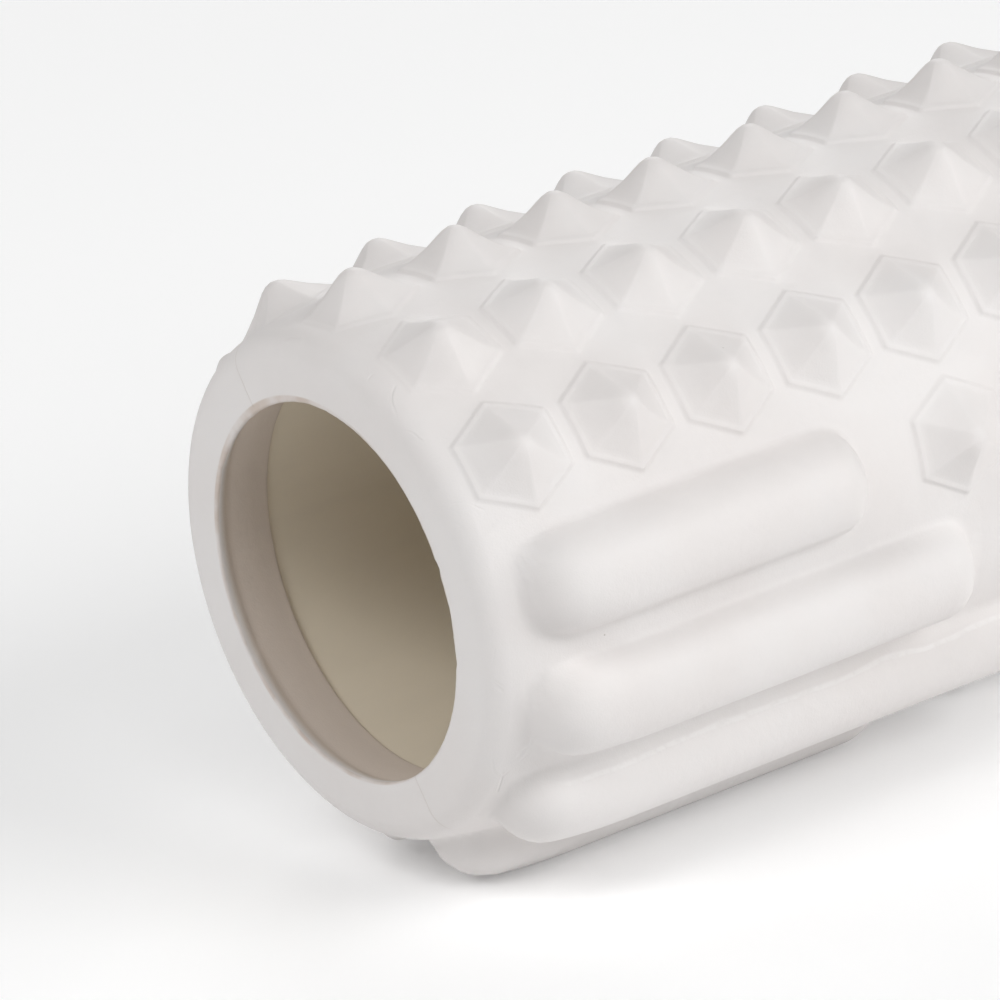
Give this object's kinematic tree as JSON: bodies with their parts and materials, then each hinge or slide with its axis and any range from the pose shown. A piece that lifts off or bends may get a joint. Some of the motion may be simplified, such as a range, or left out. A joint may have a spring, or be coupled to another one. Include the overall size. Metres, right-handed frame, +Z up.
{
  "type": "foam roller",
  "caption": "Hollow foam massage roller: a soft sleeve with pyramid lugs and long rounded ridges, wrapped over a rigid plastic core tube.",
  "frame": {"origin": "middle of the roller's axis", "axes": "+X along the roller's axis, from the near end towards the far end; +Z up, with the roller standing on one row of ridges and the row of lugs next to it"},
  "size_m": [0.33, 0.1389, 0.1373],
  "materials": {
    "foam": "matte moulded EVA foam",
    "core_plastic": "smooth extruded plastic, slight sheen"
  },
  "bodies": {
    "root": {"foam_sleeve": "foam", "core_tube": "core_plastic"}
  },
  "joints": []
}
